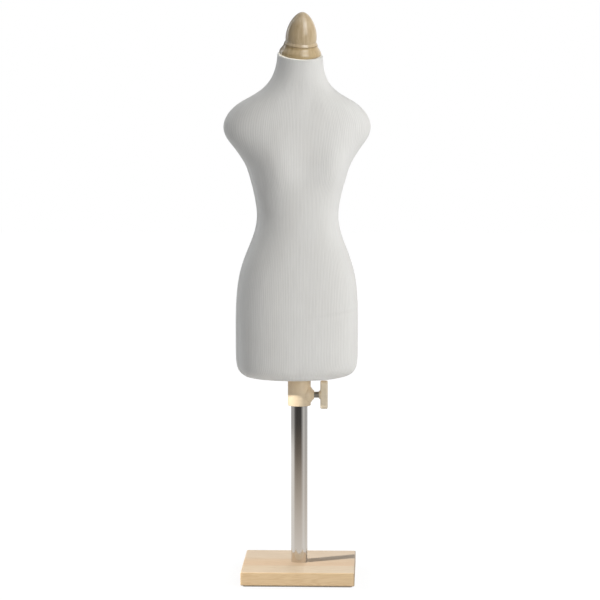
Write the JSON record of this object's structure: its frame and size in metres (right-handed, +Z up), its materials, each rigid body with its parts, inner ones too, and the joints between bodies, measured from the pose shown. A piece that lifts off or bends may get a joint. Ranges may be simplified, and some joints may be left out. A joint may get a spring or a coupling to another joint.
{
  "type": "dress form mannequin",
  "caption": "Headless fabric-covered torso dress form with a wooden neck cap and finial, clamped by a screw collar to a chrome pole on a square wooden base.",
  "frame": {"origin": "middle of the base's underside, on the pole's axis", "axes": "+Z up along the pole; +X along the clamp screw, away from the pole; -Y towards the front of the stand, with the torso's front turned 15 degrees from it towards +X"},
  "size_m": [0.1947, 0.15, 0.7524],
  "materials": {
    "base_wood": "pale laminated wood, satin lacquer",
    "base_felt": "pressed felt",
    "steel_hardware": "zinc-plated",
    "pole_chrome": "polished chrome plate",
    "black_plastic": "moulded",
    "bush_plastic": "natural nylon, smooth",
    "collar_paint": "beige satin paint on a die casting",
    "plywood": "raw plywood",
    "shell_plastic": "moulded shell",
    "foam_padding": "closed-cell padding foam",
    "knit_fabric": "off-white fine-ribbed knit",
    "finial_wood": "turned wood, gloss lacquer",
    "brass_pad": "turned brass",
    "screw_steel": "plain steel thread",
    "knob_plastic": "beige moulded plastic"
  },
  "bodies": {
    "stand": {"base_board": "base_wood", "base_felt": "base_felt", "base_washer": "steel_hardware", "base_bolt": "steel_hardware", "pole_plug": "steel_hardware", "pole_tube": "pole_chrome", "pole_cap": "black_plastic"},
    "carriage": {"guide_bush": "bush_plastic"},
    "form": {"clamp_collar": "collar_paint", "bush_retainer": "collar_paint", "collar_screws": "steel_hardware", "bottom_plate": "plywood", "shell_front": "shell_plastic", "shell_back": "shell_plastic", "foam_layer": "foam_padding", "cover": "knit_fabric", "hem_staples": "steel_hardware", "neck_plate": "plywood", "tee_nut": "steel_hardware", "finial_stud": "steel_hardware", "neck_cap": "finial_wood", "finial": "finial_wood"},
    "screw_pad": {"clamp_pad": "brass_pad"},
    "clamp_handle": {"clamp_screw": "screw_steel", "clamp_knob": "knob_plastic"}
  },
  "joints": [
    {"name": "height", "type": "slide", "parent": "stand", "child": "carriage", "axis": [0, 0, 1], "range_m": [-0.19, 0.12]},
    {"name": "swivel", "type": "hinge", "parent": "carriage", "child": "form", "pos_m": [0, 0, 0.27], "axis": [0, 0, 1], "continuous": true},
    {"name": "clamp_travel", "type": "slide", "parent": "form", "child": "screw_pad", "axis": [1, 0, 0], "range_m": [0, 0.0015]},
    {"name": "clamp_turn", "type": "hinge", "parent": "screw_pad", "child": "clamp_handle", "pos_m": [0.028, 0, 0.2453], "axis": [1, 0, 0], "range_deg": [0, 540]}
  ],
  "couplings": [
    {"joint": "clamp_travel", "follows": "clamp_turn", "m_per_rad": 0.00015915}
  ]
}
